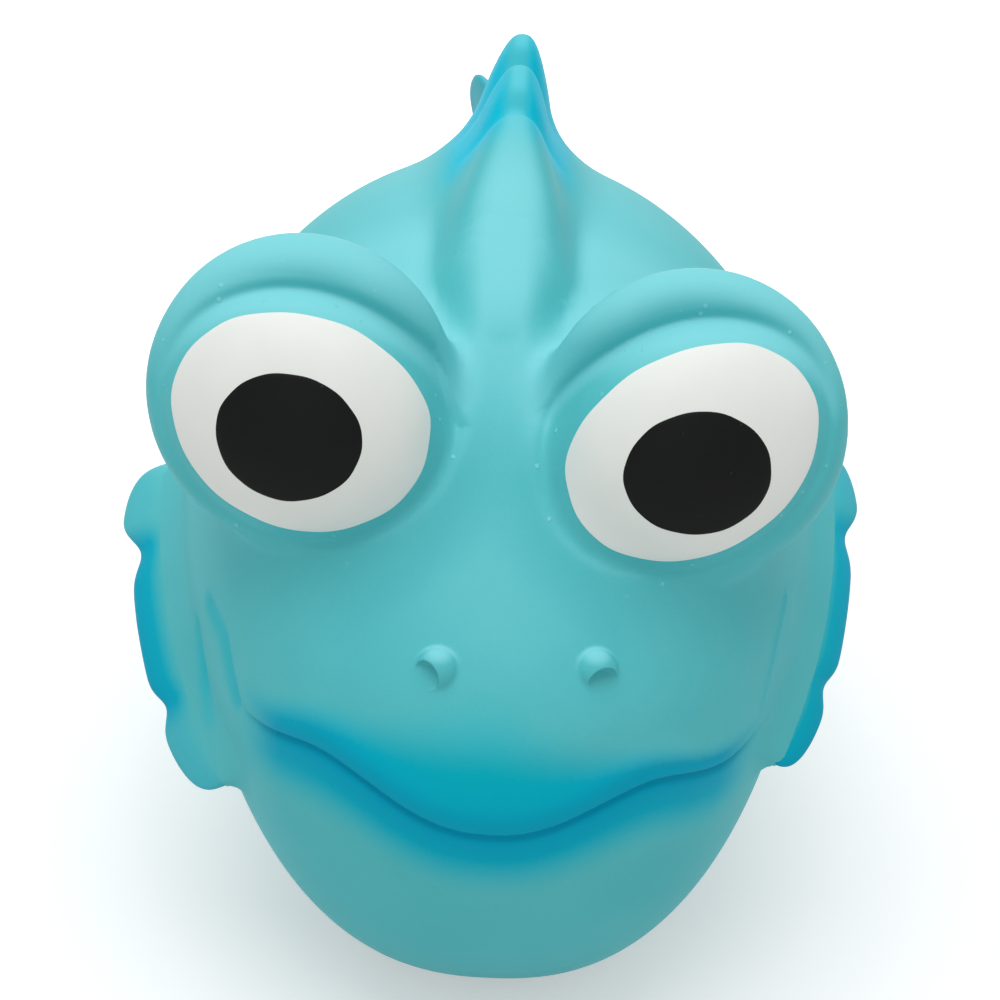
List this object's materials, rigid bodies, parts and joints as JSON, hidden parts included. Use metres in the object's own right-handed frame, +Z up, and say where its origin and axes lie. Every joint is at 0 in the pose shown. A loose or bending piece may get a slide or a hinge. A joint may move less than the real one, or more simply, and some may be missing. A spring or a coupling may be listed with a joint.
{
  "type": "latex fish dog toy",
  "caption": "Hollow soft latex fish that stands on its flat belly, with big painted eyes, brow ridges, lobed fins and a squeaker in its floor.",
  "frame": {"origin": "on the flat of the belly, below the middle of the body", "axes": "+Z up, the fish faces -Y and its tail points along +Y, the fish's own left is +X"},
  "size_m": [0.0772, 0.118, 0.0813],
  "materials": {
    "latex": "matte natural latex, light turquoise",
    "fin_latex": "matte latex with a darker blue airbrush",
    "white_paint": "satin white latex paint",
    "black_paint": "satin black latex paint",
    "squeaker_plastic": "moulded white plastic",
    "reed_film": "thin clear film"
  },
  "bodies": {
    "base": {"floor_pad": "latex", "belly_skin": "latex", "squeaker_cup": "squeaker_plastic", "reed_block": "squeaker_plastic", "reed_clamp": "squeaker_plastic", "squeaker_cap": "squeaker_plastic"},
    "upper": {"body_shell": "latex", "left_eye_white": "white_paint", "right_eye_white": "white_paint", "left_pupil": "black_paint", "right_pupil": "black_paint"},
    "dorsal": {"dorsal_fin": "latex"},
    "left_fin": {"left_side_fin": "fin_latex"},
    "right_fin": {"right_side_fin": "fin_latex"},
    "tail": {"tail_fin": "latex"},
    "reed_strip": {"reed": "reed_film"}
  },
  "joints": [
    {"name": "squeeze", "type": "slide", "parent": "base", "child": "upper", "axis": [0, 0, 1], "range_m": [-0.0045, 0], "stiffness_N_per_m": 2500, "deforming": ["belly_skin"]},
    {"name": "dorsal_flex", "type": "hinge", "parent": "upper", "child": "dorsal", "pos_m": [0, 0.012, 0.075], "axis": [0, 1, 0], "range_deg": [-15, 15], "stiffness_Nm_per_rad": 0.05},
    {"name": "left_fin_flex", "type": "hinge", "parent": "upper", "child": "left_fin", "pos_m": [0.0309, -0.0106, 0.0368], "axis": [-0.1121, -0.8848, -0.4523], "range_deg": [-10, 35], "stiffness_Nm_per_rad": 0.03},
    {"name": "right_fin_flex", "type": "hinge", "parent": "upper", "child": "right_fin", "pos_m": [-0.0294, -0.0142, 0.0337], "axis": [-0.2119, 0.8708, 0.4437], "range_deg": [-10, 35], "stiffness_Nm_per_rad": 0.03},
    {"name": "tail_flex", "type": "hinge", "parent": "upper", "child": "tail", "pos_m": [0, 0.054, 0.036], "axis": [0, 0, 1], "range_deg": [-25, 25], "stiffness_Nm_per_rad": 0.05},
    {"name": "reed_flex", "type": "hinge", "parent": "base", "child": "reed_strip", "pos_m": [0, 0.007, 0.0036], "axis": [1, 0, 0], "range_deg": [0, 8], "stiffness_Nm_per_rad": 0.00005}
  ]
}
